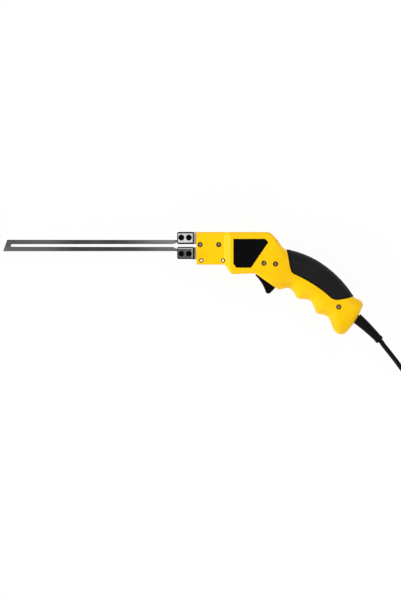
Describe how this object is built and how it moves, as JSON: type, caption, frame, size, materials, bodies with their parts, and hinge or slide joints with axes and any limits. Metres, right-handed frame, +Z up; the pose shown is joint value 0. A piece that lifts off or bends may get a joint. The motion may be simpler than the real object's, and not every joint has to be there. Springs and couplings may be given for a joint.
{
  "type": "electric hot knife",
  "caption": "Hand-held electric hot knife with a long slotted blade in clamp blocks, pistol-curved casing, rubber grip pad, trigger and mains cord.",
  "frame": {"origin": "middle of the bottom of the tool's box, without its cord, lying on its right side", "axes": "+X from the blade to the handle, +Y from the finger side to the back of the casing, +Z up from the right side to the left side"},
  "size_m": [0.5778, 0.2008, 0.044],
  "materials": {
    "casing_yellow": "moulded plastic, satin gloss",
    "grip_rubber": "soft black rubber, matt",
    "black_plastic": "black moulded plastic",
    "blade_steel": "grey heat-resistant alloy",
    "bright_steel": "bright machined metal",
    "plate_alloy": "light sheet metal",
    "black_steel": "blackened steel",
    "copper": "bare copper",
    "core_iron": "varnished laminations",
    "enamel_wire": "enamelled copper wire",
    "insulation": "brown insulating board",
    "white_plastic": "white moulded plastic",
    "plated_steel": "nickel plated",
    "cord_rubber": "black rubber sheath",
    "lead_brown": "brown insulated wire",
    "lead_blue": "blue insulated wire"
  },
  "bodies": {
    "handset": {"left_shell": "casing_yellow", "right_shell": "casing_yellow", "grip_pad": "grip_rubber", "left_side_plate": "black_plastic", "right_side_plate": "black_plastic", "casing_screws": "black_steel", "upper_clamp": "bright_steel", "lower_clamp": "bright_steel", "upper_gasket": "black_plastic", "lower_gasket": "black_plastic", "upper_plate": "plate_alloy", "lower_plate": "plate_alloy", "upper_busbar": "copper", "lower_busbar": "copper", "secondary_loop": "copper", "nose_insulator": "insulation", "transformer_core": "core_iron", "coil_former": "white_plastic", "primary_winding": "enamel_wire", "trigger_pin": "plated_steel", "trigger_spring": "plated_steel", "switch_body": "black_plastic", "inner_cord": "cord_rubber", "cable_clamp": "white_plastic", "cable_clamp_screws": "plated_steel", "live_lead": "lead_brown", "neutral_lead": "lead_blue", "switch_lead": "lead_brown", "strain_relief": "grip_rubber", "cord_run": "cord_rubber", "cord_coil": "cord_rubber", "cord_tail": "cord_rubber", "cord_tie": "black_plastic", "plug_body": "black_plastic", "plug_pins": "plated_steel"},
    "trigger": {"trigger": "black_plastic"},
    "plunger": {"switch_plunger": "white_plastic"},
    "blade": {"blade": "blade_steel"},
    "upper_front_screw": {"upper_front_screw": "black_steel"},
    "upper_rear_screw": {"upper_rear_screw": "black_steel"},
    "lower_front_screw": {"lower_front_screw": "black_steel"},
    "lower_rear_screw": {"lower_rear_screw": "black_steel"}
  },
  "joints": [
    {"name": "trigger_pull", "type": "hinge", "parent": "handset", "child": "trigger", "pos_m": [0.09245, 0.01094, 0.022], "axis": [0, 0, 1], "range_deg": [0, 10], "stiffness_Nm_per_rad": 0.15, "springref_deg": -11.46, "deforming": ["trigger_spring"]},
    {"name": "plunger_slide", "type": "slide", "parent": "handset", "child": "plunger", "axis": [0, 1, 0], "range_m": [0, 0.004]},
    {"name": "blade_out", "type": "slide", "parent": "handset", "child": "blade", "axis": [-1, 0, 0], "range_m": [0, 0.018]},
    {"name": "upper_front_screw_out", "type": "slide", "parent": "handset", "child": "upper_front_screw", "axis": [0, 0, 1], "range_m": [0, 0.003]},
    {"name": "upper_rear_screw_out", "type": "slide", "parent": "handset", "child": "upper_rear_screw", "axis": [0, 0, 1], "range_m": [0, 0.003]},
    {"name": "lower_front_screw_out", "type": "slide", "parent": "handset", "child": "lower_front_screw", "axis": [0, 0, 1], "range_m": [0, 0.003]},
    {"name": "lower_rear_screw_out", "type": "slide", "parent": "handset", "child": "lower_rear_screw", "axis": [0, 0, 1], "range_m": [0, 0.003]}
  ],
  "couplings": [
    {"joint": "plunger_slide", "follows": "trigger_pull", "m_per_rad": 0.0222}
  ]
}
